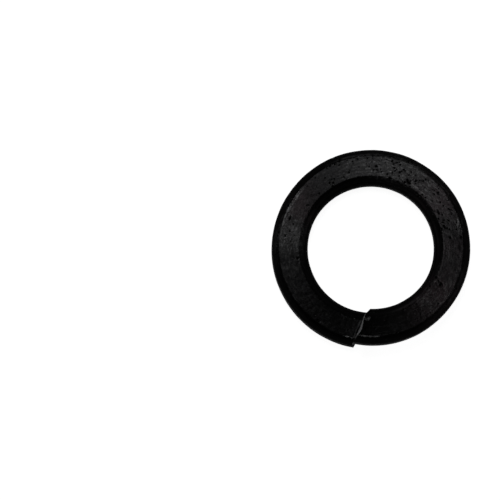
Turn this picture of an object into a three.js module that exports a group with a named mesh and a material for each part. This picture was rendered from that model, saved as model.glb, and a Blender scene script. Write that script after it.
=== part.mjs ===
// Spring lock washer: one piece of flattened spring-steel wire, coiled on edge through a
// single turn and cut through at the split, so that its two ends stand apart in height.
// Millimetres, +Z up. It lies as it comes to rest on a table: on the inner corner of its low
// end and on its underside opposite the split. The split faces -Y.

import * as THREE from 'three';

// The wire's section, upright beside the bore
const boreDiameter = 24.5;
const wireWidth = 7.0;
const wireThickness = 5.2;
const boreEdgeRadius = 1.75;
const outerEdgeRadius = 1.4;

// The coil rises clockwise as seen from above, which is the left-hand way: the ends then bite
// when a nut with a right-hand thread turns loose.
const riseOverTurn = 6.6;

// The cut runs off the radius, with its outer end further clockwise, and leans off the axis.
const cutSkewDegrees = 15;
const cutLeanDegrees = 3;

// The way up, seen from the coil: how far it leans off the coil's axis towards the split, and
// clockwise of it, when the washer lies free.
const restLeanToSplitDegrees = 6.2;
const restLeanAsideDegrees = 3.3;

// Fineness of the facets
const stepsAlongWire = 96;
const arcDivisions = 2;

const meanRadius = (boreDiameter + wireWidth) / 2;
const fullTurn = 2 * Math.PI;

// The section's x runs away from the bore, and its edges are rounder on the bore side.
function wireSection() {
  const faceY = wireThickness / 2;
  const boreX = boreEdgeRadius - wireWidth / 2;
  const boreY = faceY - boreEdgeRadius;
  const outerX = wireWidth / 2 - outerEdgeRadius;
  const outerY = faceY - outerEdgeRadius;
  const quarter = Math.PI / 2;
  const section = new THREE.Shape();
  section.moveTo(outerX, -faceY);
  section.absarc(outerX, -outerY, outerEdgeRadius, -quarter, 0, false);
  section.absarc(outerX, outerY, outerEdgeRadius, 0, quarter, false);
  section.absarc(boreX, boreY, boreEdgeRadius, quarter, 2 * quarter, false);
  section.absarc(boreX, -boreY, boreEdgeRadius, 2 * quarter, 3 * quarter, false);
  section.closePath();
  return section;
}

// A point of the coiled wire: outward and upward are its place in the section, and turn is the
// angle gone round clockwise from the split.
function coiledPoint(outward, upward, turn) {
  const radius = meanRadius + outward;
  const height = upward + (riseOverTurn * turn) / fullTurn;
  return new THREE.Vector3(-radius * Math.sin(turn), -radius * Math.cos(turn), height);
}

// The turn at which one fibre of the wire meets the cut's plane, near turn 0 for the low end
// and near a full turn for the high end. Each pass brings it closer.
function turnAtCut(outward, upward, nominalTurn) {
  const skew = Math.tan(THREE.MathUtils.degToRad(cutSkewDegrees));
  const lean = Math.tan(THREE.MathUtils.degToRad(cutLeanDegrees));
  const passes = 6;
  let turn = nominalTurn;
  for (let pass = 0; pass < passes; pass += 1) {
    const point = coiledPoint(outward, upward, turn);
    const beyondMeanRadius = -point.y - meanRadius;
    const aboveMiddle = point.z - riseOverTurn / 2;
    const aside = beyondMeanRadius * skew + aboveMiddle * lean;
    turn = nominalTurn + Math.asin(aside / (meanRadius + outward));
  }
  return turn;
}

// Bends a straight bar of unit length along z, section in x and y, into the coil. Both of its
// end faces come to lie in the cut's plane.
function coil(bar) {
  const points = bar.getAttribute('position');
  for (let i = 0; i < points.count; i += 1) {
    const outward = points.getX(i);
    const upward = points.getY(i);
    const lowTurn = turnAtCut(outward, upward, 0);
    const highTurn = turnAtCut(outward, upward, fullTurn);
    const turn = THREE.MathUtils.lerp(lowTurn, highTurn, points.getZ(i));
    const point = coiledPoint(outward, upward, turn);
    points.setXYZ(i, point.x, point.y, point.z);
  }
  bar.computeVertexNormals();
  return bar;
}

function blackenedSpringSteel() {
  return new THREE.MeshStandardMaterial({ color: 0x1a1a1b, roughness: 0.62, metalness: 0.55 });
}

function springWasher() {
  const bar = new THREE.ExtrudeGeometry(wireSection(), {
    depth: 1,
    steps: stepsAlongWire,
    curveSegments: arcDivisions,
    bevelEnabled: false,
  });
  const washer = new THREE.Mesh(coil(bar), blackenedSpringSteel());
  washer.name = 'spring_washer';
  return washer;
}

// Tips the washer so that it lies free, and sets it on the ground over the origin.
function layDown(washer) {
  const wayUp = new THREE.Vector3(
    -Math.tan(THREE.MathUtils.degToRad(restLeanAsideDegrees)),
    -Math.tan(THREE.MathUtils.degToRad(restLeanToSplitDegrees)),
    1,
  ).normalize();
  washer.quaternion.setFromUnitVectors(wayUp, new THREE.Vector3(0, 0, 1));
  const room = new THREE.Box3().setFromObject(washer, true);
  const middle = room.getCenter(new THREE.Vector3());
  washer.position.set(-middle.x, -middle.y, -room.min.z);
}

const model = new THREE.Group();
const washer = springWasher();
layDown(washer);
model.add(washer);

export default model;
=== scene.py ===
import math
import random

import bmesh
import bpy
import numpy as np
from mathutils import Matrix, Vector, noise


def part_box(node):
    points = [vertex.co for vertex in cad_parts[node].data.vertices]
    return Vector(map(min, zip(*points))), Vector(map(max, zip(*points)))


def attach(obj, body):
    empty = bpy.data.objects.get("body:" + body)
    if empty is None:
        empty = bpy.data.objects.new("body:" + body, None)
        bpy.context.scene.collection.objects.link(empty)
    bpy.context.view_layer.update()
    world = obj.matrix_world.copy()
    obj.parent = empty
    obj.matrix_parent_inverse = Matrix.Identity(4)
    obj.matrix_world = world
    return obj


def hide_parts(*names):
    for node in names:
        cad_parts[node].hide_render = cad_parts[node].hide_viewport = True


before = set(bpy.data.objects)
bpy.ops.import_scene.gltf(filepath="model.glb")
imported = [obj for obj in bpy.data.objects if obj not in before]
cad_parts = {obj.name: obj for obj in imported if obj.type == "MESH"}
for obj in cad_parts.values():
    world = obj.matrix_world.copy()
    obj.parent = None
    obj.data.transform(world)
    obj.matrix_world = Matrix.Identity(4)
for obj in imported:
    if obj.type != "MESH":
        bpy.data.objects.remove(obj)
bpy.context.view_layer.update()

millimetre = 0.001
fullTurn = 2 * math.pi
print("frame loaded")

# The washer's form, in millimetres and degrees
washer = {
    "node": "spring_washer",
    "bore": 24.5,
    "wireWidth": 7.0,
    "wireThickness": 5.2,
    "boreCorner": 1.75,  # how far in from the edge each corner's round begins
    "outerCorner": 1.4,
    "crease": 13,  # degrees by which a round starts off its face
    "rise": 6.6,  # how far the coil climbs in its one turn
    "cutSkew": 15,  # the cut's slant off the radius
    "cutLean": 3,  # and off the axis
    "leanToSplit": 6.2,  # how the washer lies when it is free
    "leanAside": 3.3,
    "pointsOnFlank": 14,  # mesh points round the wire's section
    "pointsOnFace": 26,
    "pointsOnCorner": 12,
    "rowsInMiddle": 590,  # mesh rows along the wire
    "rowsAtEnd": 60,
    "endLength": 5.0,
    "ringsOnCut": 20,
    "waviness": 0.03,  # rolled wire is never quite even
    "wavinessSize": 7.0,
    "relief": 0.012,
    "reliefSize": 0.9,
}


def meanRadius():
    return (washer["bore"] + washer["wireWidth"]) / 2


# Fades from 1 at no distance to 0 at the length
def fade(distance, length):
    return np.clip(1 - distance / length, 0, 1) ** 2


# Rises from 0 at the start to 1 over the length
def ramp(value, start, length):
    return np.clip((value - start) / length, 0, 1)


def bell(value, centre, spread):
    return np.exp(-(((value - centre) / spread) ** 2))


# Uneven values from about -1 to 1, whose broadest waves have the given size
def noiseOver(points, size, octaves, shift=0.0):
    smoothing, step, basis = 0.6, 2.0, "PERLIN_ORIGINAL"
    values = []
    for point in (points.reshape(-1, 3) / size + shift).tolist():
        values.append(noise.fractal(Vector(point), smoothing, step, octaves, noise_basis=basis))
    return np.array(values).reshape(points.shape[:-1])


# Points round the wire's section and the way out at each, clockwise from the foot of the bore side
def wireOutline():
    halfWidth, halfThickness = washer["wireWidth"] / 2, washer["wireThickness"] / 2
    tips = np.array(((-1, 1), (1, 1), (1, -1), (-1, -1))) * (halfWidth, halfThickness)
    sizes = [washer["boreCorner"], washer["outerCorner"], washer["outerCorner"], washer["boreCorner"]]
    crease = math.radians(washer["crease"])
    places, outs = [], []
    for side in range(4):
        facing = math.pi - side * math.pi / 2
        out = np.array((math.cos(facing), math.sin(facing)))
        ahead = np.array((math.sin(facing), -math.cos(facing)))
        start = tips[side - 1] + ahead * sizes[side - 1]
        end = tips[side] - ahead * sizes[side]
        count = washer["pointsOnFace"] if side % 2 else washer["pointsOnFlank"]
        for share in np.linspace(0, 1, count, endpoint=False):
            places.append(start * (1 - share) + end * share)
            outs.append(out)
        radius = sizes[side] / (math.cos(crease) - math.sin(crease))
        first = np.array((math.cos(facing - crease), math.sin(facing - crease)))
        centre = end - first * radius
        for share in np.linspace(0, 1, washer["pointsOnCorner"], endpoint=False):
            angle = facing - crease - share * (math.pi / 2 - 2 * crease)
            out = np.array((math.cos(angle), math.sin(angle)))
            places.append(centre + out * radius)
            outs.append(out)
    return np.array(places), np.array(outs)


# The section's points as places outward and upward, and as distances round it
def wireSection():
    places, outs = wireOutline()
    steps = np.linalg.norm(np.roll(places, -1, axis=0) - places, axis=1)
    around = np.concatenate([[0], np.cumsum(steps)[:-1]])
    faceFirst = washer["pointsOnFlank"] + washer["pointsOnCorner"]
    return {
        "outward": places[:, 0],
        "upward": places[:, 1],
        "outs": outs,
        "around": around,
        "perimeter": steps.sum(),
        "faceStart": around[faceFirst],  # the upper flat lies between these two
        "faceEnd": around[faceFirst + washer["pointsOnFace"]],
    }


# How far along the wire each row of points stands, from 0 to 1, closer together at the ends
def wireRows():
    length = fullTurn * meanRadius()
    end = washer["endLength"]
    first = np.linspace(0, end, washer["rowsAtEnd"], endpoint=False)
    middle = np.linspace(end, length - end, washer["rowsInMiddle"], endpoint=False)
    last = np.linspace(length - end, length, washer["rowsAtEnd"] + 1)
    return np.concatenate([first, middle, last]) / length


# A place in the coil: the turn goes clockwise from the split, and the coil climbs with it
def coiled(outward, upward, turn):
    radius = meanRadius() + outward
    height = upward + washer["rise"] * turn / fullTurn
    return np.stack([-radius * np.sin(turn), -radius * np.cos(turn), height], axis=-1)


# The turn at which a fibre of the wire meets the cut
def turnAtCut(outward, upward, nominalTurn):
    skew = math.tan(math.radians(washer["cutSkew"]))
    lean = math.tan(math.radians(washer["cutLean"]))
    passes = 6
    turn = np.full(np.shape(outward), float(nominalTurn))
    for _ in range(passes):
        point = coiled(outward, upward, turn)
        beyondMean = -point[..., 1] - meanRadius()
        aboveMiddle = point[..., 2] - washer["rise"] / 2
        aside = beyondMean * skew + aboveMiddle * lean
        turn = nominalTurn + np.arcsin(aside / (meanRadius() + outward))
    return turn


# What the shears and wear did to the two ends. Lengths are in millimetres; a place across the
# wire is measured outward from its middle, and a height on the cut goes from -1 to 1.
shearing = {
    "reach": 2.2,  # how far along the wire the cut's pull is felt
    "tearRelief": 0.09,
    "tearSize": 1.0,
    "tearFadeIn": 3,
    "liftLength": 6.0,
    "lowTipLift": 0.06,
    "highTipLift": 0.16,
    "lowBurr": 0.16,
    "lowBurrLength": 0.6,
    "lowBurrEven": 0.6,
    "lowBurrUneven": 0.8,
    "lowBurrSize": 0.8,
    "lowBurrLeast": 0.1,
    "lowBurrMost": 1.4,
    "lowInnerLean": 6,  # degrees
    "lowTornCorner": 0.12,
    "lowTornReach": 1.3,
    "lowWear": 2.0,  # steel rubbed bare at the low end's outer corner
    "lowWearWidth": 0.5,
    "lowWearAt": 3.1,
    "lowWearSpread": 0.35,
    "highTopRound": 0.15,
    "highTopRoundFrom": 0.45,
    "highTopRoundLeast": 0.25,
    "highLip": 0.10,
    "highLipAt": 0.40,
    "highLipSpread": 0.22,
    "highUndercut": 0.12,
    "highBoreNick": 0.65,  # the bore-side corner broken off the high end
    "highBoreNickFrom": -2.2,
    "highWear": 2.4,  # steel rubbed bare along the high end's top edge
    "highWearWidth": 0.60,
    "highWearAt": 0.8,  # where along that edge it is widest
    "highWearSpread": 1.4,
    "highWearLeast": 0.15,
    "highScuff": 0.85,  # a scuff behind the broken corner
    "highScuffAt": -1.4,
    "highScuffWidth": 0.8,
    "highScuffBack": 0.8,
    "highScuffLength": 0.9,
    "wearOnCut": 0.35,  # slight, all over the cut faces
    "flatFrom": 0.8,  # height on the cut where the flat begins, and how softly
    "flatBlend": 0.15,
}


def heightOnCut(upward):
    return np.clip(upward / (washer["wireThickness"] / 2), -1, 1)


# How far the low end's cut stands back from its plane
def lowCutShape(outward, upward):
    inner = np.clip(0.5 - outward / washer["wireWidth"], 0, 1)
    leaning = upward * math.tan(math.radians(shearing["lowInnerLean"])) * inner
    tornTop = np.clip(heightOnCut(upward), 0, 1) ** 3
    torn = shearing["lowTornCorner"] * tornTop * np.clip(shearing["lowTornReach"] - inner, 0, 1)
    return leaning + torn


# How strongly the high end's top edge is rubbed, from its bore side to its outer side
def highWearShare(outward):
    return bell(outward, shearing["highWearAt"], shearing["highWearSpread"])


# How far the high end's cut stands back; its top edge was rolled over into a lip
def highCutShape(outward, upward):
    top = heightOnCut(upward)
    rollFrom = shearing["highTopRoundFrom"]
    roll = shearing["highTopRound"] * ramp(top, rollFrom, 1 - rollFrom) ** 2
    roll = roll * (shearing["highTopRoundLeast"] + highWearShare(outward))
    lip = -shearing["highLip"] * bell(top, shearing["highLipAt"], shearing["highLipSpread"])
    under = shearing["highUndercut"] * np.clip(-top, 0, 1)
    nickFrom = shearing["highBoreNickFrom"]
    nickShare = (nickFrom - outward) / (nickFrom + washer["wireWidth"] / 2)
    nick = shearing["highBoreNick"] * np.clip(nickShare, 0, 1)
    return roll + lip + under + nick


# Steel rubbed bare at both ends' edges
def wearAtEnds(section, wire):
    outward, upward = section["outward"], section["upward"]
    onTop = upward > 0
    onFlat = ramp(heightOnCut(upward), shearing["flatFrom"], shearing["flatBlend"])
    width = shearing["highWearWidth"] * (shearing["highWearLeast"] + highWearShare(outward))
    wear = shearing["highWear"] * np.clip(1 - wire["fromHigh"] / width, 0, 1) * onFlat
    scuff = bell(wire["fromHigh"], shearing["highScuffBack"], shearing["highScuffLength"])
    scuff = scuff * bell(outward, shearing["highScuffAt"], shearing["highScuffWidth"])
    wear = wear + shearing["highScuff"] * scuff * onTop
    corner = bell(outward, shearing["lowWearAt"], shearing["lowWearSpread"]) * onTop
    nearLow = np.clip(1 - wire["fromLow"] / shearing["lowWearWidth"], 0, 1)
    return wear + shearing["lowWear"] * nearLow * corner


# A value over the turns that is strong about some places: (turn, spread, strength), in degrees
def crowding(turns, patches, elsewhere):
    total = elsewhere
    for at, spread, strength in patches:
        total = total + strength * bell(turns, at, spread)
    return np.minimum(total, 1)


# Rust pits, in millimetres; on the upper face they crowd about some turns
pitting = {
    "seed": 11,
    "crowded": ((188, 36, 1.0), (236, 18, 0.35), (98, 14, 0.2), (300, 14, 0.3)),
    "elsewhere": 0.05,
    "clusters": 40,
    "perCluster": (3, 7),
    "clusterSpread": 0.45,
    "loose": 170,
    "looseSize": 0.8,
    "underside": 240,
    "smallest": 0.10,
    "largest": 0.28,
    "fewerLarge": 2.5,  # above 1, large ones are rare
    "depthToRadius": 0.32,
    "clearOfCut": 2,  # degrees
    "pastBoreEdge": 0.3,  # how far they reach beyond the upper flat
    "pastOuterEdge": 0.6,
    "raggedness": 0.22,
    "fineRaggedness": 0.12,
    "reach": 1.6,  # how many of its radii a ragged pit may cover
    "wallCurve": 0.8,
    "blackening": 1.6,
}


# Where each pit lies, as (turn, distance round the section, radius)
def scatterPits(section):
    dice = random.Random(pitting["seed"])
    found = []

    def pitRadius():
        small, large = pitting["smallest"], pitting["largest"]
        return small + (large - small) * dice.random() ** pitting["fewerLarge"]

    def onUpperFace():
        first = section["faceStart"] - pitting["pastBoreEdge"]
        last = section["faceEnd"] + pitting["pastOuterEdge"]
        while True:
            turn = dice.uniform(pitting["clearOfCut"], 360 - pitting["clearOfCut"])
            if dice.random() < crowding(turn, pitting["crowded"], pitting["elsewhere"]):
                return math.radians(turn), dice.uniform(first, last)

    for _ in range(pitting["clusters"]):
        turn, around = onUpperFace()
        for _ in range(dice.randint(*pitting["perCluster"])):
            along = dice.gauss(0, pitting["clusterSpread"]) / meanRadius()
            across = dice.gauss(0, pitting["clusterSpread"])
            found.append((turn + along, around + across, pitRadius()))
    for _ in range(pitting["loose"]):
        found.append((*onUpperFace(), pitRadius() * pitting["looseSize"]))
    clear = 0.03  # radians
    for _ in range(pitting["underside"]):
        around = dice.uniform(section["faceEnd"], section["faceStart"] + section["perimeter"])
        found.append((dice.uniform(clear, fullTurn - clear), around, pitRadius()))
    return found


# Depth of the pits at every mesh point, in millimetres, and how much of a pit each point is in
def sinkPits(section, turns):
    around, perimeter = section["around"], section["perimeter"]
    depth = np.zeros(turns.shape)
    inside = np.zeros(turns.shape)
    rowTurns = turns.mean(axis=1)
    radii = meanRadius() + section["outward"]
    rowSlack = 1.6  # near the cut, rows stand askew by its slant
    pits = scatterPits(section)
    print("pits:", len(pits))
    for turn, place, radius in pits:
        reach = pitting["reach"] * radius
        rows = np.abs(rowTurns - turn) * meanRadius() < reach + rowSlack
        gap = (around - place + perimeter / 2) % perimeter - perimeter / 2
        columns = np.abs(gap) < reach
        if not rows.any() or not columns.any():
            continue
        patch = np.ix_(rows, columns)
        along = (turns[patch] - turn) * radii[columns]
        angle = np.arctan2(gap[columns], along)
        # each pit's outline has lobes of its own
        ragged = 1 + pitting["raggedness"] * np.sin(3 * angle + 9 * turn)
        ragged = radius * (ragged + pitting["fineRaggedness"] * np.sin(5 * angle + 31 * turn))
        share = np.clip(1 - (along**2 + gap[columns] ** 2) / ragged**2, 0, 1)
        sunk = pitting["depthToRadius"] * radius * share ** pitting["wallCurve"]
        depth[patch] = np.maximum(depth[patch], sunk)
        inside[patch] = np.maximum(inside[patch], np.clip(share * pitting["blackening"], 0, 1))
    return depth, inside


# The wire coiled, cut and pitted, as rows of section points from the low end to the high end
def shapeWire(section):
    outward, upward, outs = section["outward"], section["upward"], section["outs"]
    radii = meanRadius() + outward
    low, high = turnAtCut(outward, upward, 0), turnAtCut(outward, upward, fullTurn)
    shares = wireRows()[:, None]
    turns = low * (1 - shares) + high * shares
    ideal = coiled(outward, upward, turns)
    fromLow = (turns - low) * radii
    fromHigh = (high - turns) * radii

    # the cut's pull along the wire, strongest at the very end
    pull = lowCutShape(outward, upward) * fade(fromLow, shearing["reach"])
    pull = pull - highCutShape(outward, upward) * fade(fromHigh, shearing["reach"])
    turns = turns + pull / radii

    place = coiled(outward, upward, turns)
    depth, inPit = sinkPits(section, turns)
    wavy = noiseOver(place, washer["wavinessSize"], octaves=2)
    relief = noiseOver(place, washer["reliefSize"], octaves=3, shift=40.0)
    swell = washer["waviness"] * wavy + washer["relief"] * relief - depth
    uneven = noiseOver(place, shearing["lowBurrSize"], octaves=2, shift=7.0)
    ragged = shearing["lowBurrEven"] + shearing["lowBurrUneven"] * uneven
    ragged = np.clip(ragged, shearing["lowBurrLeast"], shearing["lowBurrMost"])
    onTop = np.clip(heightOnCut(upward), 0, 1) ** 3
    burr = shearing["lowBurr"] * onTop * fade(fromLow, shearing["lowBurrLength"]) * ragged
    lift = shearing["lowTipLift"] * fade(fromLow, shearing["liftLength"])
    lift = lift + shearing["highTipLift"] * fade(fromHigh, shearing["liftLength"])
    raised = upward + outs[:, 1] * swell + burr + lift
    points = coiled(outward + outs[:, 0] * swell, raised, turns)
    return {
        "points": points,
        "ideal": ideal,
        "turns": turns,
        "fromLow": fromLow,
        "fromHigh": fromHigh,
        "raised": raised,
        "inPit": inPit,
    }


# How the black finish changes round the washer, and where light is painted on it, as (turn, spread,
# strength) in degrees
finishAndPaintedLight = {
    # dull patches: partly a real dull finish, partly painted light that makes the top paler to the north
    # and west, where light falls most
    "dullAndLit": ((199, 28, 0.92), (94, 14, 1.0), (66, 22, 0.2), (294, 18, 0.5), (250, 22, 0.05)),
    "dullAndLitElsewhere": 0.06,
    "offFlat": 0.2,  # how much of it goes on past the flats
    "flatFrom": 0.86,
    "flatBlend": 0.1,
    # pale specks crowd to the north and west, where the top is most lit: partly real specks, partly painted
    # light
    "paleAndLit": (
        (92, 9, 1.0),
        (156, 10, 0.22),
        (204, 12, 0.4),
        (231, 6, 0.1),
        (254, 9, 0.2),
        (306, 11, 0.6),
    ),
    "outerPaleAndLit": ((109, 15, 1.0), (248, 5, 1.0), (278, 6, 0.4)),  # paler beside the outer edge: a painted highlight
    "outerPaleAndLitAt": 1.95,  # millimetres outward from the wire's middle
    "outerPaleAndLitWidth": 0.55,
    "brown": ((226, 16, 0.65), (112, 13, 0.65), (301, 20, 1.0), (262, 8, 0.35)),
    "boreEdge": ((5, 7, 0.5), (200, 60, 0.35), (96, 16, 0.3)),  # rubbed through at the edges
    "boreEdgeWidth": 0.22,
    "outerEdge": ((105, 20, 0.72), (190, 40, 0.25), (354, 9, 1.0), (7, 6, 0.8)),
    "outerEdgeWidth": 0.28,
    "edgeElsewhere": 0.1,
}


# The values that the materials read at each mesh point of the wire
def finishValues(section, wire):
    outward, upward, around = section["outward"], section["upward"], section["around"]
    degrees = np.degrees(wire["turns"])
    flatness = ramp(np.abs(heightOnCut(upward)), finishAndPaintedLight["flatFrom"], finishAndPaintedLight["flatBlend"])
    flatness = np.maximum(flatness, finishAndPaintedLight["offFlat"])
    besideEdge = bell(outward, finishAndPaintedLight["outerPaleAndLitAt"], finishAndPaintedLight["outerPaleAndLitWidth"]) * (upward > 0)
    # pale patches: partly painted light where the top is most lit, and a painted highlight beside the outer
    # edge
    paleAndLit = crowding(degrees, finishAndPaintedLight["paleAndLit"], 0) * flatness
    paleAndLit = paleAndLit + crowding(degrees, finishAndPaintedLight["outerPaleAndLit"], 0) * besideEdge
    onBoreEdge = bell(around, section["faceStart"], finishAndPaintedLight["boreEdgeWidth"])
    onOuterEdge = bell(around, section["faceEnd"], finishAndPaintedLight["outerEdgeWidth"])
    edge = onBoreEdge * crowding(degrees, finishAndPaintedLight["boreEdge"], finishAndPaintedLight["edgeElsewhere"])
    edge = edge + onOuterEdge * crowding(degrees, finishAndPaintedLight["outerEdge"], finishAndPaintedLight["edgeElsewhere"])
    return {
        "inPit": wire["inPit"],
        "wear": wearAtEnds(section, wire),
        # painted light in part: the dull patches lighten the top where it is most lit
        "dullAndLit": crowding(degrees, finishAndPaintedLight["dullAndLit"], finishAndPaintedLight["dullAndLitElsewhere"]) * flatness,
        "paleAndLit": np.minimum(paleAndLit, 1),
        "crowd": crowding(degrees, pitting["crowded"], pitting["elsewhere"]),
        "brown": crowding(degrees, finishAndPaintedLight["brown"], 0),
        "edge": edge,
    }


# Distance along the wire and round its section at each mesh point, for marks that follow the wire
def alongWire(section, wire):
    shape = wire["turns"].shape
    along = wire["fromLow"] * meanRadius() / (meanRadius() + section["outward"])
    around = np.broadcast_to(section["around"], shape)
    return np.stack([along, around, np.zeros(shape)], axis=-1)


# Closes one end with rings of points that shrink to the middle of the section
def closeEnd(section, wire, parts, atHighEnd):
    if atHighEnd:
        nominal, row, cutShape, sign = fullTurn, len(wire["turns"]) - 1, highCutShape, -1
    else:
        nominal, row, cutShape, sign = 0, 0, lowCutShape, 1
    outward, upward = section["outward"], section["upward"]
    lifted = wire["raised"][row] - upward
    rings = washer["ringsOnCut"]
    border = np.arange(len(outward)) + row * len(outward)
    for ring in range(1, rings + 1):
        share = 1 - ring / rings
        atMiddle = ring == rings
        ringOutward = np.zeros(1) if atMiddle else outward * share
        ringUpward = np.zeros(1) if atMiddle else upward * share
        carried = np.array([lifted.mean()]) if atMiddle else lifted * share
        radii = meanRadius() + ringOutward
        back = sign * cutShape(ringOutward, ringUpward)
        turn = turnAtCut(ringOutward, ringUpward, nominal) + back / radii
        smooth = coiled(ringOutward, ringUpward + carried, turn)
        torn = noiseOver(smooth, shearing["tearSize"], octaves=3, shift=21.0)
        torn = torn * min(1, shearing["tearFadeIn"] * ring / rings)
        turn = turn + sign * shearing["tearRelief"] * torn / radii
        current = parts["total"] + np.arange(len(ringOutward))
        parts["total"] += len(ringOutward)
        parts["points"].append(coiled(ringOutward, ringUpward + carried, turn))
        parts["wire"].append(np.stack([ringOutward, ringUpward, np.ones(len(ringOutward))], axis=-1))
        for name, arrays in parts["finish"].items():
            arrays.append(np.full(len(ringOutward), shearing["wearOnCut"] if name == "wear" else 0.0))
        following = np.roll(border, -1)
        if atMiddle:
            middle = np.full(len(border), current[0])
            parts["faces"] += np.stack([border, following, middle], axis=-1).tolist()
        else:
            corners = [border, following, np.roll(current, -1), current]
            parts["faces"] += np.stack(corners, axis=-1).tolist()
        border = current


# Turned to lie free on the ground, and set where the CAD part lies, in metres
def layDown(points, ideal):
    leanAside = math.tan(math.radians(washer["leanAside"]))
    leanToSplit = math.tan(math.radians(washer["leanToSplit"]))
    wayUp = Vector((-leanAside, -leanToSplit, 1)).normalized()
    turning = np.array(wayUp.rotation_difference(Vector((0, 0, 1))).to_matrix())
    lowest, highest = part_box(washer["node"])
    layout = ideal @ turning.T * millimetre
    shift = (np.array(lowest) + np.array(highest)) / 2 - (layout.min(0) + layout.max(0)) / 2
    shift[2] = lowest[2] - layout[:, 2].min()
    placed = points @ turning.T * millimetre + shift
    placed[:, 2] = np.maximum(placed[:, 2], lowest[2])
    return placed


def addValues(mesh, name, kind, values):
    attribute = mesh.attributes.new(name=name, type=kind, domain="POINT")
    field = "vector" if kind == "FLOAT_VECTOR" else "value"
    attribute.data.foreach_set(field, np.ascontiguousarray(values, np.float32).ravel())


def makeWasher():
    section = wireSection()
    wire = shapeWire(section)
    rows, columns = wire["turns"].shape
    cells = np.arange(rows * columns).reshape(rows, columns)
    following = np.roll(cells, -1, axis=1)
    sides = np.stack([cells[:-1], cells[1:], following[1:], following[:-1]], axis=-1)
    finish = finishValues(section, wire)
    parts = {
        "points": [wire["points"].reshape(-1, 3)],
        "wire": [alongWire(section, wire).reshape(-1, 3)],
        "finish": {name: [values.ravel()] for name, values in finish.items()},
        "faces": sides.reshape(-1, 4).tolist(),
        "total": rows * columns,
    }
    sideCount = len(parts["faces"])
    print("wire:", rows, "rows of", columns, "points")
    closeEnd(section, wire, parts, atHighEnd=False)
    closeEnd(section, wire, parts, atHighEnd=True)
    print("cut faces:", len(parts["faces"]) - sideCount, "faces")

    placed = layDown(np.concatenate(parts["points"]), wire["ideal"].reshape(-1, 3))
    mesh = bpy.data.meshes.new("springWasher")
    mesh.from_pydata(placed.tolist(), [], parts["faces"])
    addValues(mesh, "wire", "FLOAT_VECTOR", np.concatenate(parts["wire"]))
    for name, arrays in parts["finish"].items():
        addValues(mesh, name, "FLOAT", np.concatenate(arrays))
    mesh.materials.append(blackenedSteel())
    mesh.materials.append(shearedSteel())
    slots = np.zeros(len(parts["faces"]), np.int32)
    slots[sideCount:] = 1
    mesh.polygons.foreach_set("material_index", slots)
    mesh.polygons.foreach_set("use_smooth", np.ones(len(slots), bool))
    shell = bmesh.new()
    shell.from_mesh(mesh)
    bmesh.ops.recalc_face_normals(shell, faces=shell.faces)
    shell.to_mesh(mesh)
    shell.free()
    piece = bpy.data.objects.new("springWasher", mesh)
    bpy.context.scene.collection.objects.link(piece)
    triangles = sum(len(face.vertices) - 2 for face in mesh.polygons)
    print("washer:", len(mesh.vertices), "points,", triangles, "triangles")
    return piece


# Helpers for building node trees
def setOrLink(tree, socket, value):
    if isinstance(value, bpy.types.NodeSocket):
        tree.links.new(value, socket)
    else:
        socket.default_value = value


def startGroup(name, inputs, outputs):
    tree = bpy.data.node_groups.new(name, "ShaderNodeTree")
    for socketName, kind, value in inputs:
        socket = tree.interface.new_socket(socketName, in_out="INPUT", socket_type=kind)
        if value is not None:
            socket.default_value = value
    for socketName, kind in outputs:
        tree.interface.new_socket(socketName, in_out="OUTPUT", socket_type=kind)
    return tree, tree.nodes.new("NodeGroupInput").outputs, tree.nodes.new("NodeGroupOutput").inputs


def addNode(tree, kind, sockets=None, **settings):
    node = tree.nodes.new(kind)
    for name, value in settings.items():
        setattr(node, name, value)
    for name, value in (sockets or {}).items():
        setOrLink(tree, node.inputs[name], value)
    return node


def calculate(tree, operation, *values, clamp=False):
    sockets = dict(enumerate(values))
    return addNode(tree, "ShaderNodeMath", sockets, operation=operation, use_clamp=clamp).outputs[0]


def multiply(tree, first, second, clamp=False):
    return calculate(tree, "MULTIPLY", first, second, clamp=clamp)


def remap(tree, value, fromLow, fromHigh, toLow=0.0, toHigh=1.0):
    sockets = {"Value": value, "From Min": fromLow, "From Max": fromHigh, "To Min": toLow, "To Max": toHigh}
    return addNode(tree, "ShaderNodeMapRange", sockets, clamp=True).outputs["Result"]


def blendValues(tree, mask, first, second):
    return remap(tree, mask, 0.0, 1.0, first, second)


def blendColours(tree, mask, first, second):
    mixer = addNode(tree, "ShaderNodeMix", data_type="RGBA", clamp_factor=True)
    setOrLink(tree, mixer.inputs[0], mask)
    setOrLink(tree, mixer.inputs[6], first)
    setOrLink(tree, mixer.inputs[7], second)
    return mixer.outputs[2]


def scaledVector(tree, vector, factor):
    scaled = addNode(tree, "ShaderNodeVectorMath", {0: vector}, operation="SCALE")
    scaled.inputs["Scale"].default_value = factor
    return scaled.outputs[0]


def noiseTexture(tree, place, scale, detail, roughness=0.5):
    sockets = {"Vector": place, "Scale": scale, "Detail": detail, "Roughness": roughness}
    return addNode(tree, "ShaderNodeTexNoise", sockets).outputs


def useGroup(tree, group, **sockets):
    return addNode(tree, "ShaderNodeGroup", sockets, node_tree=group).outputs


# Cloudy unevenness of a finish
def makeClouds():
    inputs = (
        ("Place", "NodeSocketVector", None),
        ("Size", "NodeSocketFloat", 3.0),
        ("Contrast", "NodeSocketFloat", 1.0),
    )
    tree, given, result = startGroup("finishClouds", inputs, (("Mask", "NodeSocketFloat"),))
    scale = calculate(tree, "DIVIDE", 1.0, given["Size"])
    broad = noiseTexture(tree, given["Place"], scale, 5.0, 0.6)[0]
    middle = 0.5
    centred = calculate(tree, "SUBTRACT", broad, middle)
    mask = calculate(tree, "ADD", multiply(tree, centred, given["Contrast"]), middle, clamp=True)
    tree.links.new(mask, result["Mask"])
    return tree


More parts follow.
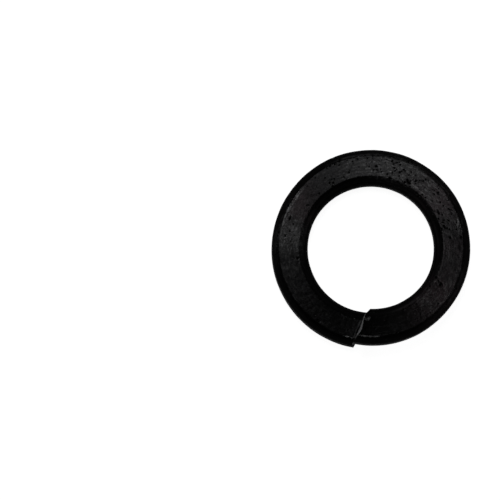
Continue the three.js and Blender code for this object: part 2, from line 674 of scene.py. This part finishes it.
# Pin-prick rust pits, sparse and of uneven size, each with a slightly raised rim
def makePinPricks():
    inputs = (
        ("Place", "NodeSocketVector", None),
        ("Spacing", "NodeSocketFloat", 0.7),
        ("Amount", "NodeSocketFloat", 0.5),
    )
    outputs = (("Mask", "NodeSocketFloat"), ("Rim", "NodeSocketFloat"))
    tree, given, result = startGroup("pinPricks", inputs, outputs)
    bendScale, bendStrength = 3.0, 0.35
    bend = noiseTexture(tree, given["Place"], bendScale, 2.0)["Color"]
    bend = scaledVector(tree, bend, bendStrength)
    place = addNode(tree, "ShaderNodeVectorMath", {0: given["Place"], 1: bend}, operation="ADD").outputs[0]
    scale = calculate(tree, "DIVIDE", 1.0, given["Spacing"])
    cells = addNode(tree, "ShaderNodeTexVoronoi", {"Vector": place, "Scale": scale, "Randomness": 1.0})
    chance = addNode(tree, "ShaderNodeSeparateColor", {"Color": cells.outputs["Color"]})
    chosen = calculate(tree, "LESS_THAN", chance.outputs[0], given["Amount"])
    smallest, largest = 0.09, 0.30  # in cells
    radius = blendValues(tree, chance.outputs[1], smallest, largest)
    near = calculate(tree, "DIVIDE", cells.outputs["Distance"], radius)  # 1 at the prick's edge
    hole = remap(tree, near, 0.55, 1.0, 1.0, 0.0)
    rim = multiply(tree, remap(tree, near, 0.85, 1.1), remap(tree, near, 1.15, 1.6, 1.0, 0.0))
    tree.links.new(multiply(tree, hole, chosen), result["Mask"])
    tree.links.new(multiply(tree, rim, chosen), result["Rim"])
    return tree


# Fine lines drawn along one direction, the first axis of Place
def makeDrawnLines():
    inputs = (
        ("Place", "NodeSocketVector", None),
        ("Width", "NodeSocketFloat", 0.12),
        ("Length", "NodeSocketFloat", 6.0),
        ("Rarity", "NodeSocketFloat", 0.6),
    )
    tree, given, result = startGroup("drawnLines", inputs, (("Mask", "NodeSocketFloat"),))
    parts = addNode(tree, "ShaderNodeSeparateXYZ", {"Vector": given["Place"]}).outputs
    along = calculate(tree, "DIVIDE", parts[0], given["Length"])
    across = calculate(tree, "DIVIDE", parts[1], given["Width"])
    stretched = addNode(tree, "ShaderNodeCombineXYZ", {"X": along, "Y": across, "Z": parts[2]})
    lines = noiseTexture(tree, stretched.outputs[0], 1.0, 2.0)
    softness = 0.12
    above = calculate(tree, "ADD", given["Rarity"], softness)
    tree.links.new(remap(tree, lines[0], given["Rarity"], above), result["Mask"])
    return tree


# Steel rubbed bare: a worn value broken up so that it comes through in patches
def makeRubbedThrough():
    inputs = (
        ("Place", "NodeSocketVector", None),
        ("Wear", "NodeSocketFloat", 0.0),
        ("Size", "NodeSocketFloat", 0.5),
    )
    tree, given, result = startGroup("rubbedThrough", inputs, (("Mask", "NodeSocketFloat"),))
    scale = calculate(tree, "DIVIDE", 1.0, given["Size"])
    patches = noiseTexture(tree, given["Place"], scale, 4.0, 0.65)
    total = multiply(tree, patches[0], given["Wear"])
    bareFrom, bareFully = 0.30, 0.52
    tree.links.new(remap(tree, total, bareFrom, bareFully), result["Mask"])
    return tree


groups = {
    "clouds": makeClouds(),
    "pinPricks": makePinPricks(),
    "drawnLines": makeDrawnLines(),
    "rubbedThrough": makeRubbedThrough(),
}
print("node groups ready:", ", ".join(groups))

# The black finish over the whole wire, in millimetres. It is nearly a metal, so each colour is
# what it mirrors. A pair of numbers says what a mask of 0 and of 1 give.
blackFinish = {
    "oily": (0.0050, 0.0050, 0.0052, 1),
    # the dull colour: a paler finish that also paints the top lighter where light falls most
    "dullAndLit": (0.0275, 0.0275, 0.0278, 1),
    "brown": (0.0190, 0.0140, 0.0156, 1),
    "speckle": (0.150, 0.150, 0.152, 1),
    "pitColour": (0.0015, 0.0015, 0.0015, 1),
    "rubbed": (0.080, 0.080, 0.081, 1),
    "bareSteel": (0.26, 0.26, 0.265, 1),
    "metallic": 0.85,
    "specular": 0.10,
    "roughness": (0.25, 0.40),
    "roughnessInPits": 0.3,
    "roughnessWhereBare": 0.12,
    "cloudSize": 3.2,
    "cloudContrast": 2.0,
    "cloudsOnDullAndLit": (0.3, 1.6),
    "mottleSize": 0.55,
    "mottleContrast": 2.4,
    "mottleOnDullAndLit": (0.55, 1.45),
    "brownSize": 2.2,
    "brownContrast": 3.0,
    "brownFrom": (0.1, 0.7),
    "brownStrength": (0.35, 1.0),
    "pricksFrom": (0.2, 0.8),
    "cloudsOnPricks": (0.5, 1.4),
    "pricksAmount": (0.06, 0.75),
    "pricksApart": 0.62,
    "prickDepth": 0.035,
    "rimHeight": 0.010,
    "rimFull": 0.6,
    "rimOnDullAndLit": (0.08, 0.6),
    "speckleScale": 3.6,
    "speckleFrom": (0.56, 0.63),
    "speckleMoreWherePaleAndLit": 0.09,
    "speckleOffSmears": 0.40,
    "speckleStrength": 0.75,
    "pitRaggedness": 0.6,
    "pitEdge": (0.35, 0.6),
    "smearWidth": 0.42,
    "smearLength": 1.3,
    "smearRarity": 0.53,
    "smearStrength": 0.50,
    "scratchWidth": 0.10,
    "scratchLength": 7.0,
    "scratchRarity": 0.62,
    "scratchStrength": 0.3,
    "scratchDepth": 0.004,
    "wearSize": 0.5,
    "grainScale": 3.2,
    "grainHeight": (0.0012, 0.008),
}

# The sheared faces of the split
cutFinish = {
    "dark": (0.0040, 0.0040, 0.0045, 1),
    "light": (0.030, 0.030, 0.031, 1),
    "bareSteel": (0.20, 0.20, 0.205, 1),
    "specular": 0.30,
    "roughness": 0.41,
    "roughnessByClouds": 0.15,
    "cloudSize": 0.9,
    "cloudContrast": 2.2,
    "lineWidth": 0.09,
    "lineLength": 2.5,
    "lineRarity": 0.50,
    "lineStrength": 0.4,
    "lineDepth": 0.012,
    "wearSize": 0.35,
    "grainScale": 6.0,
    "grainHeight": 0.03,
}


def startMaterial(name):
    material = bpy.data.materials.new(name)
    material.use_nodes = True
    tree = material.node_tree
    tree.nodes.clear()
    shader = tree.nodes.new("ShaderNodeBsdfPrincipled")
    output = tree.nodes.new("ShaderNodeOutputMaterial")
    tree.links.new(shader.outputs[0], output.inputs["Surface"])
    return material, tree, shader.inputs


def placeInMillimetres(tree):
    coordinates = tree.nodes.new("ShaderNodeTexCoord").outputs["Object"]
    return scaledVector(tree, coordinates, 1 / millimetre)


def meshValue(tree, name, output="Fac"):
    return addNode(tree, "ShaderNodeAttribute", attribute_name=name).outputs[output]


def linkBump(tree, height, shader):
    bump = addNode(tree, "ShaderNodeBump", {"Height": height, "Distance": millimetre, "Strength": 1.0})
    tree.links.new(bump.outputs[0], shader["Normal"])


def cloudy(tree, place, size, contrast):
    return useGroup(tree, groups["clouds"], Place=place, Size=size, Contrast=contrast)["Mask"]


def drawnLines(tree, place, width, length, rarity):
    sockets = {"Place": place, "Width": width, "Length": length, "Rarity": rarity}
    return useGroup(tree, groups["drawnLines"], **sockets)["Mask"]


def rubbedThrough(tree, place, wear, size):
    return useGroup(tree, groups["rubbedThrough"], Place=place, Wear=wear, Size=size)["Mask"]


def blackenedSteel():
    look = blackFinish
    material, tree, shader = startMaterial("blackenedSteel")
    place = placeInMillimetres(tree)
    wire = meshValue(tree, "wire", "Vector")
    # pale specks: partly painted light where the top is most lit
    paleAndLit = meshValue(tree, "paleAndLit")

    # dull, cloudy stretches; partly painted light, making the top paler where it is most lit
    clouds = cloudy(tree, place, look["cloudSize"], look["cloudContrast"])
    mottle = cloudy(tree, place, look["mottleSize"], look["mottleContrast"])
    dullAndLitShare = multiply(tree, meshValue(tree, "dullAndLit"), blendValues(tree, clouds, *look["cloudsOnDullAndLit"]))
    dullAndLitShare = multiply(tree, dullAndLitShare, blendValues(tree, mottle, *look["mottleOnDullAndLit"]), clamp=True)
    tint = cloudy(tree, place, look["brownSize"], look["brownContrast"])
    tinted = remap(tree, tint, *look["brownFrom"], *look["brownStrength"])
    brown = multiply(tree, meshValue(tree, "brown"), tinted)

    # pits and pin-pricks
    thicker = remap(tree, clouds, *look["pricksFrom"], *look["cloudsOnPricks"])
    crowd = multiply(tree, meshValue(tree, "crowd"), thicker)
    amount = blendValues(tree, crowd, *look["pricksAmount"])
    pricks = useGroup(tree, groups["pinPricks"], Place=place, Spacing=look["pricksApart"], Amount=amount)
    fine = noiseTexture(tree, place, look["speckleScale"], 3.0, 0.6)[0]
    uneven = remap(tree, fine, 0.3, 0.7, -0.5, 0.5)  # the noise spread about zero
    inPit = calculate(tree, "MULTIPLY_ADD", uneven, look["pitRaggedness"], meshValue(tree, "inPit"))
    pitted = calculate(tree, "MAXIMUM", remap(tree, inPit, *look["pitEdge"]), pricks["Mask"])

    # pale smears and speckles, and the pricks' rims. Speckles show only where the top is dull or pale, so
    # they partly paint light where it falls most
    smears = drawnLines(tree, wire, look["smearWidth"], look["smearLength"], look["smearRarity"])
    above = calculate(tree, "MULTIPLY_ADD", paleAndLit, look["speckleMoreWherePaleAndLit"], fine)
    speckle = remap(tree, above, *look["speckleFrom"])
    speckle = multiply(tree, speckle, blendValues(tree, smears, look["speckleOffSmears"], 1.0))
    speckle = calculate(tree, "MAXIMUM", speckle, multiply(tree, smears, look["smearStrength"]))
    speckle = multiply(tree, speckle, calculate(tree, "MAXIMUM", dullAndLitShare, paleAndLit))
    rim = multiply(tree, pricks["Rim"], remap(tree, dullAndLitShare, 0.0, look["rimFull"], *look["rimOnDullAndLit"]))
    speckle = calculate(tree, "MAXIMUM", speckle, rim)

    # scratches along the wire, and bare steel at its edges and ends
    scratches = drawnLines(tree, wire, look["scratchWidth"], look["scratchLength"], look["scratchRarity"])
    wear = calculate(tree, "MAXIMUM", meshValue(tree, "wear"), meshValue(tree, "edge"))
    bare = rubbedThrough(tree, place, wear, look["wearSize"])

    # painted light in part: the dull colour lightens the top where light falls most
    colour = blendColours(tree, dullAndLitShare, look["oily"], look["dullAndLit"])
    colour = blendColours(tree, brown, colour, look["brown"])
    colour = blendColours(tree, multiply(tree, speckle, look["speckleStrength"]), colour, look["speckle"])
    colour = blendColours(tree, multiply(tree, scratches, look["scratchStrength"]), colour, look["rubbed"])
    colour = blendColours(tree, pitted, colour, look["pitColour"])
    colour = blendColours(tree, bare, colour, look["bareSteel"])
    tree.links.new(colour, shader["Base Color"])
    roughness = blendValues(tree, dullAndLitShare, *look["roughness"])
    roughness = calculate(tree, "MULTIPLY_ADD", pitted, look["roughnessInPits"], roughness)
    roughness = calculate(tree, "MULTIPLY_ADD", bare, look["roughnessWhereBare"], roughness, clamp=True)
    tree.links.new(roughness, shader["Roughness"])
    shader["Metallic"].default_value = look["metallic"]
    shader["Specular IOR Level"].default_value = look["specular"]

    grain = noiseTexture(tree, place, look["grainScale"], 4.0, 0.65)[0]
    height = multiply(tree, grain, blendValues(tree, dullAndLitShare, *look["grainHeight"]))
    height = calculate(tree, "MULTIPLY_ADD", pricks["Mask"], -look["prickDepth"], height)
    height = calculate(tree, "MULTIPLY_ADD", pricks["Rim"], look["rimHeight"], height)
    height = calculate(tree, "MULTIPLY_ADD", scratches, -look["scratchDepth"], height)
    linkBump(tree, height, shader)
    print("material:", material.name)
    return material


def shearedSteel():
    look = cutFinish
    material, tree, shader = startMaterial("shearedSteel")
    place = placeInMillimetres(tree)
    clouds = cloudy(tree, place, look["cloudSize"], look["cloudContrast"])

    # on the cut, the shears drew their lines up the face
    onCut = addNode(tree, "ShaderNodeSeparateXYZ", {"Vector": meshValue(tree, "wire", "Vector")}).outputs
    upright = addNode(tree, "ShaderNodeCombineXYZ", {"X": onCut[1], "Y": onCut[0], "Z": onCut[2]})
    lines = drawnLines(tree, upright.outputs[0], look["lineWidth"], look["lineLength"], look["lineRarity"])
    bare = rubbedThrough(tree, place, meshValue(tree, "wear"), look["wearSize"])
    colour = blendColours(tree, clouds, look["dark"], look["light"])
    colour = blendColours(tree, multiply(tree, lines, look["lineStrength"]), colour, look["light"])
    colour = blendColours(tree, bare, colour, look["bareSteel"])
    tree.links.new(colour, shader["Base Color"])
    tree.links.new(bare, shader["Metallic"])
    roughness = calculate(tree, "MULTIPLY_ADD", clouds, look["roughnessByClouds"], look["roughness"])
    tree.links.new(roughness, shader["Roughness"])
    shader["Specular IOR Level"].default_value = look["specular"]

    grain = noiseTexture(tree, place, look["grainScale"], 5.0, 0.7)[0]
    height = multiply(tree, grain, look["grainHeight"])
    height = calculate(tree, "MULTIPLY_ADD", lines, -look["lineDepth"], height)
    linkBump(tree, height, shader)
    print("material:", material.name)
    return material


# The table and the room's light. The floor glows only as the camera sees it, so that it is pale
# while the washer mirrors dim surroundings.
studio = {
    "floorSize": 6.0,
    "floorColour": (0.85, 0.85, 0.85, 1),
    "floorBounce": (0.50, 0.50, 0.50, 1),
    "floorGlow": (0.93, 0.93, 0.93, 1),
    "floorRoughness": 0.9,
    "skyShown": (1.0, 1.0, 1.0, 1),
    "skyLight": (0.010, 0.010, 0.0105, 1),
    "horizonLight": (0.17, 0.17, 0.17, 1),
    "horizonTop": 0.35,  # sine of the elevation where the horizon's light begins to fade
    "horizonEnd": 0.80,
}


def makeFloor():
    half = studio["floorSize"] / 2
    mesh = bpy.data.meshes.new("floor")
    corners = [(-half, -half, 0), (half, -half, 0), (half, half, 0), (-half, half, 0)]
    mesh.from_pydata(corners, [], [(0, 1, 2, 3)])
    floor = bpy.data.objects.new("floor", mesh)
    bpy.context.scene.collection.objects.link(floor)
    material, tree, shader = startMaterial("paleFloor")
    seen = tree.nodes.new("ShaderNodeLightPath").outputs["Is Camera Ray"]
    black = (0, 0, 0, 1)
    colour = blendColours(tree, seen, studio["floorBounce"], studio["floorColour"])
    tree.links.new(colour, shader["Base Color"])
    tree.links.new(blendColours(tree, seen, black, studio["floorGlow"]), shader["Emission Color"])
    shader["Emission Strength"].default_value = 1.0
    shader["Roughness"].default_value = studio["floorRoughness"]
    shader["Specular IOR Level"].default_value = 0.0
    mesh.materials.append(material)
    print("floor ready")


def makeSky():
    world = bpy.data.worlds.new("studio")
    world.use_nodes = True
    tree = world.node_tree
    tree.nodes.clear()
    seen = tree.nodes.new("ShaderNodeLightPath").outputs["Is Camera Ray"]
    direction = addNode(tree, "ShaderNodeTexCoord").outputs["Generated"]
    height = addNode(tree, "ShaderNodeSeparateXYZ", {"Vector": direction}).outputs[2]
    horizon = remap(tree, height, studio["horizonTop"], studio["horizonEnd"], 1.0, 0.0)
    light = blendColours(tree, horizon, studio["skyLight"], studio["horizonLight"])
    shown = blendColours(tree, seen, light, studio["skyShown"])
    background = addNode(tree, "ShaderNodeBackground", {"Color": shown})
    output = tree.nodes.new("ShaderNodeOutputWorld")
    tree.links.new(background.outputs[0], output.inputs["Surface"])
    bpy.context.scene.world = world
    print("sky ready")


# Square lamps aimed at the washer, as name: (place in metres, size in metres, power in watts)
lamps = {
    "overhead": ((-0.042, 0.172, 0.60), 0.19, 0.36),
    "farLamp": ((-0.15, 0.50, 0.30), 0.20, 0.11),
    "leftStrip": ((-0.55, -0.05, 0.12), 0.20, 0.03),
    "rightStrip": ((0.55, -0.05, 0.12), 0.20, 0.03),
}


def makeLamps():
    for name, (place, size, power) in lamps.items():
        data = bpy.data.lights.new(name, "AREA")
        data.shape = "SQUARE"
        data.size = size
        data.energy = power
        lamp = bpy.data.objects.new(name, data)
        lamp.location = place
        lamp.rotation_euler = (-Vector(place)).to_track_quat("-Z", "Y").to_euler()
        bpy.context.scene.collection.objects.link(lamp)
    print("lamps ready:", ", ".join(lamps))


# The camera looks almost straight down; lengths in metres, angles in degrees
view = {
    "distance": 1.43,
    "spanShown": 0.0973,  # width of the table that is in view
    "objectRight": 0.02345,  # how far the washer's middle lies from the view's
    "objectUp": 0.00014,
    "roll": 7.5,
    "leanRight": 1.8,
    "leanFront": 1.0,
    "sensorWidth": 36,  # millimetres
    "reach": 10,
}


def makeCamera():
    lowest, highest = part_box(washer["node"])
    middle = (Vector(lowest) + Vector(highest)) / 2
    roll = math.radians(view["roll"])
    right = Vector((math.cos(roll), math.sin(roll), 0))
    up = Vector((-math.sin(roll), math.cos(roll), 0))
    back = Vector((0, 0, 1)) + right * math.tan(math.radians(view["leanRight"]))
    back = (back - up * math.tan(math.radians(view["leanFront"]))).normalized()
    up = (up - back * up.dot(back)).normalized()
    right = up.cross(back)
    place = middle - right * view["objectRight"] - up * view["objectUp"] + back * view["distance"]
    data = bpy.data.cameras.new("camera")
    data.sensor_width = view["sensorWidth"]
    data.lens = view["sensorWidth"] * view["distance"] / view["spanShown"]
    data.clip_end = view["reach"]
    camera = bpy.data.objects.new("camera", data)
    camera.matrix_world = Matrix.Translation(place) @ Matrix((right, up, back)).transposed().to_4x4()
    bpy.context.scene.collection.objects.link(camera)
    bpy.context.scene.camera = camera
    print("camera ready")


bpy.context.scene.view_settings.view_transform = "Standard"
makeCamera()
piece = makeWasher()
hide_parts(washer["node"])
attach(piece, "root")
makeFloor()
makeSky()
makeLamps()

print("scene ready")
